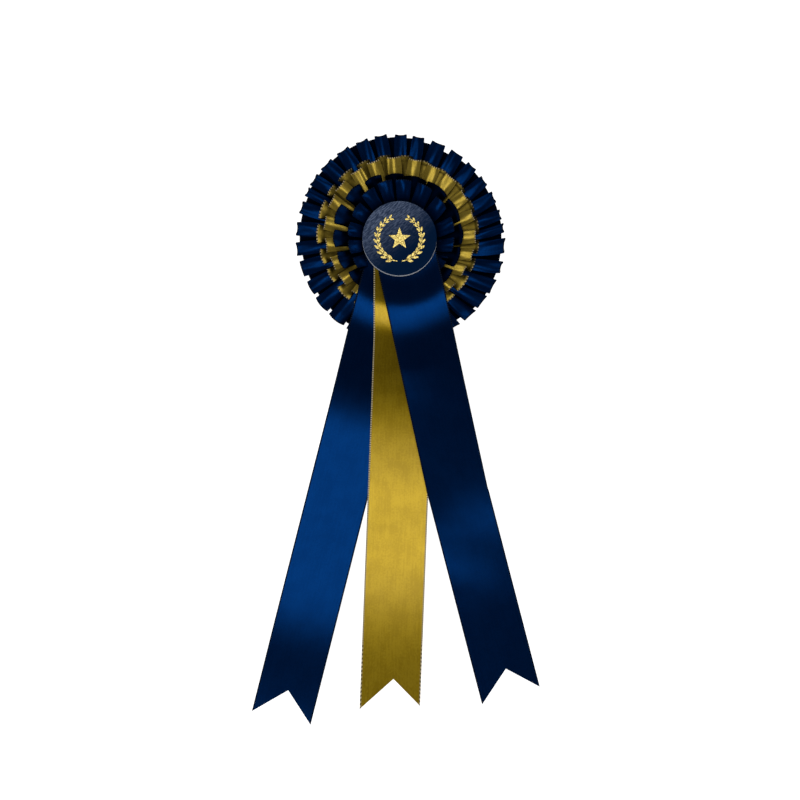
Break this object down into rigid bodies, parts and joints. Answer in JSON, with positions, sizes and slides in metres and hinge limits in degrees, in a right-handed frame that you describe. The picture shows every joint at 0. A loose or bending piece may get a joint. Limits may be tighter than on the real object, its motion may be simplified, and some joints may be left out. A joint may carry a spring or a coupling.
{
  "type": "ribbon rosette",
  "caption": "Pleated satin rosette badge with a flat round centre, swallow-tailed ribbons and a brooch bar behind.",
  "frame": {"origin": "behind the middle of the rosette, on the plane that the garment or the table touches", "axes": "+Z out of the front of the rosette, +Y towards its top, the tails run towards -Y, +X to the right as seen from the front"},
  "size_m": [0.1843, 0.3778, 0.0219],
  "materials": {
    "navy_satin": "satin ribbon",
    "gold_satin": "satin ribbon",
    "grained_cover": "fine grain",
    "white_board": "matt",
    "backing": "matt",
    "bar_steel": "plated"
  },
  "bodies": {
    "root": {"brooch_bar": "bar_steel", "backing_card": "backing", "outer_tier": "navy_satin", "gold_tier": "gold_satin", "inner_tier": "navy_satin", "tail_left": "navy_satin", "tail_gold": "gold_satin", "tail_right": "navy_satin", "centre_board": "white_board", "centre_cover": "grained_cover"}
  },
  "joints": []
}
